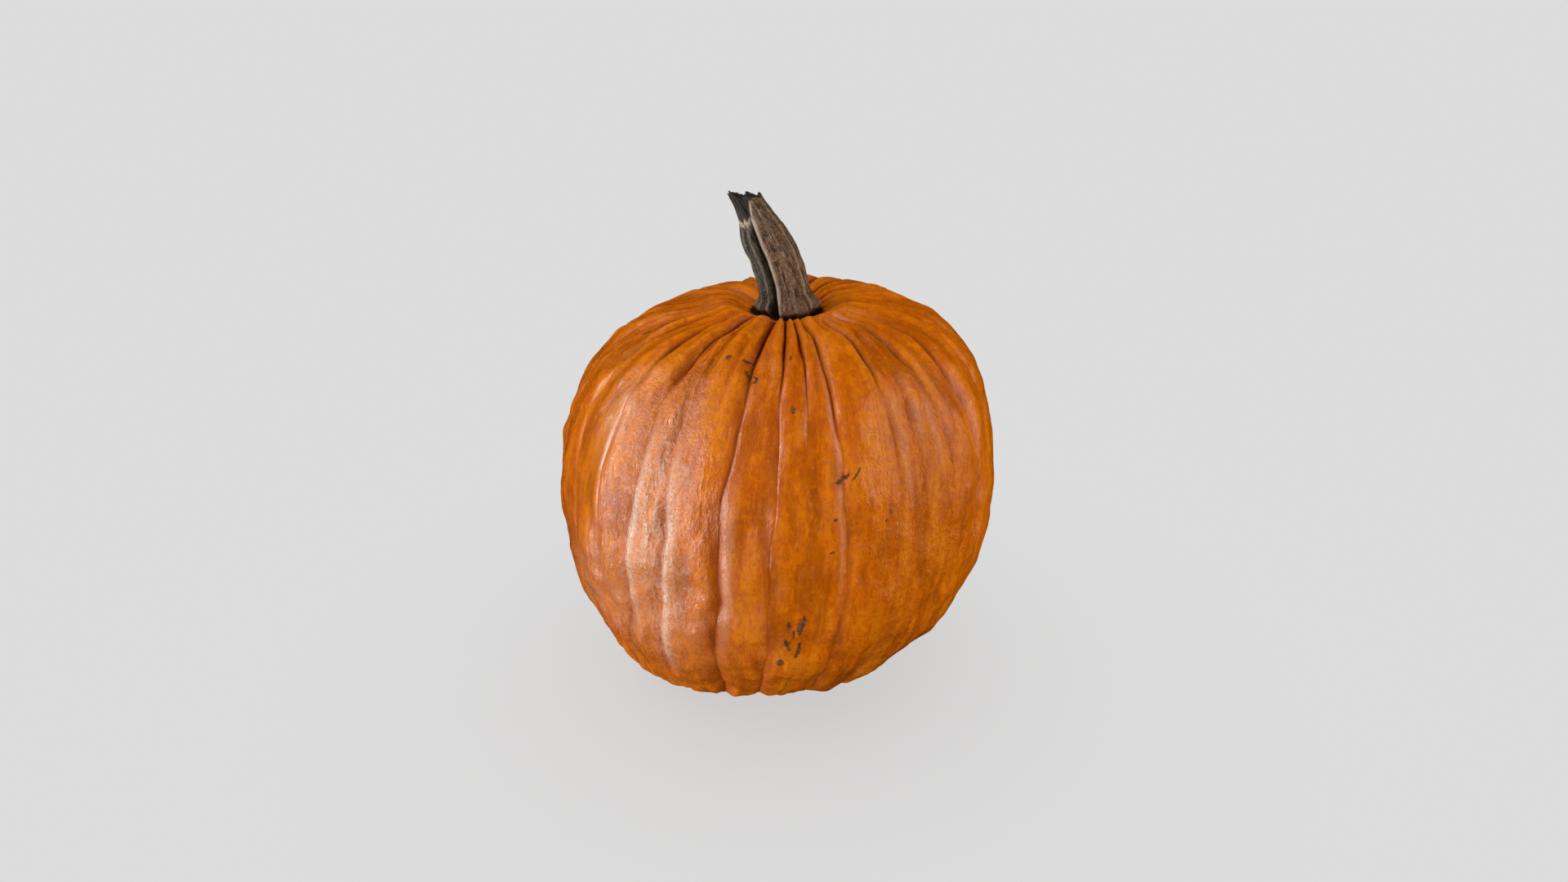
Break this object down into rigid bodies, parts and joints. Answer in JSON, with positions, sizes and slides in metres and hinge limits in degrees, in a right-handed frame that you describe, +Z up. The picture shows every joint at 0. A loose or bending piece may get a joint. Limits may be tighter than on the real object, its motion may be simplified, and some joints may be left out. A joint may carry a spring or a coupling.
{
  "type": "pumpkin",
  "caption": "Round ribbed carving pumpkin with a curved dry stem, resting upright on a small flat spot.",
  "frame": {"origin": "centre of the small flat foot at the blossom end, on the surface the pumpkin stands on", "axes": "+Z up towards the stem, -Y the front; the stem leans towards -X"},
  "size_m": [0.2636, 0.2687, 0.2976],
  "materials": {
    "rind": "satin",
    "stem": "matte"
  },
  "bodies": {
    "root": {"fruit": "rind", "stem": "stem"}
  },
  "joints": []
}
